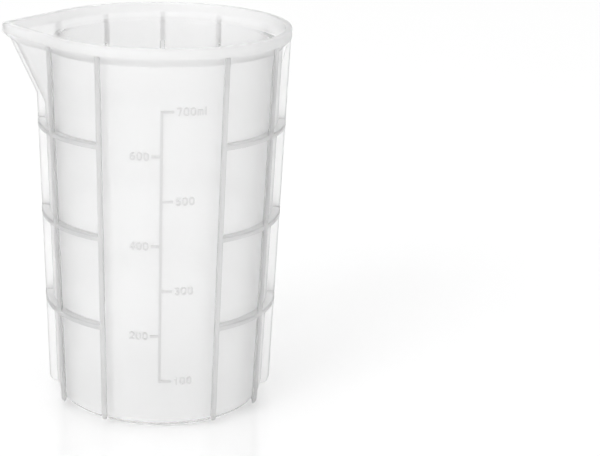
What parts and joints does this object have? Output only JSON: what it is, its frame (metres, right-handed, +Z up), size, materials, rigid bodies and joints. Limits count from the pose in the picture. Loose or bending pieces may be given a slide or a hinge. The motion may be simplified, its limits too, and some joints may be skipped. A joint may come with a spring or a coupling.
{
  "type": "resin mixing cup",
  "caption": "Graduated silicone mixing cup with a V-shaped pouring spout, a stepped-out rim, upright ribs and hoops outside, and a raised millilitre scale on the front.",
  "frame": {"origin": "centre of the flat underside, on the cup's axis, where it stands", "axes": "+Z up along the cup's axis, the spout points to -X, the scale faces -Y"},
  "size_m": [0.112, 0.1, 0.152],
  "materials": {
    "silicone": "translucent, milky, satin",
    "raised_scale": "translucent, milky, satin"
  },
  "bodies": {
    "root": {"cup_base": "silicone", "cup_wall": "silicone", "hoop_1": "silicone", "hoop_2": "silicone", "hoop_3": "silicone", "mark_100": "raised_scale", "mark_200": "raised_scale", "mark_300": "raised_scale", "mark_400": "raised_scale", "mark_500": "raised_scale", "mark_600": "raised_scale", "mark_700": "raised_scale", "number_100": "raised_scale", "number_200": "raised_scale", "number_300": "raised_scale", "number_400": "raised_scale", "number_500": "raised_scale", "number_600": "raised_scale", "number_700ml": "raised_scale", "pouring_spout": "silicone", "rib_back_centre": "silicone", "rib_back_inner_left": "silicone", "rib_back_inner_right": "silicone", "rib_back_outer_left": "silicone", "rib_back_outer_right": "silicone", "rib_front_inner_left": "silicone", "rib_front_inner_right": "silicone", "rib_front_outer_left": "silicone", "rib_front_outer_right": "silicone", "rib_opposite_spout": "silicone", "rib_under_spout": "silicone", "rim_collar": "silicone", "scale_line": "raised_scale", "spout_keel": "silicone", "spout_lip": "silicone"}
  },
  "joints": []
}
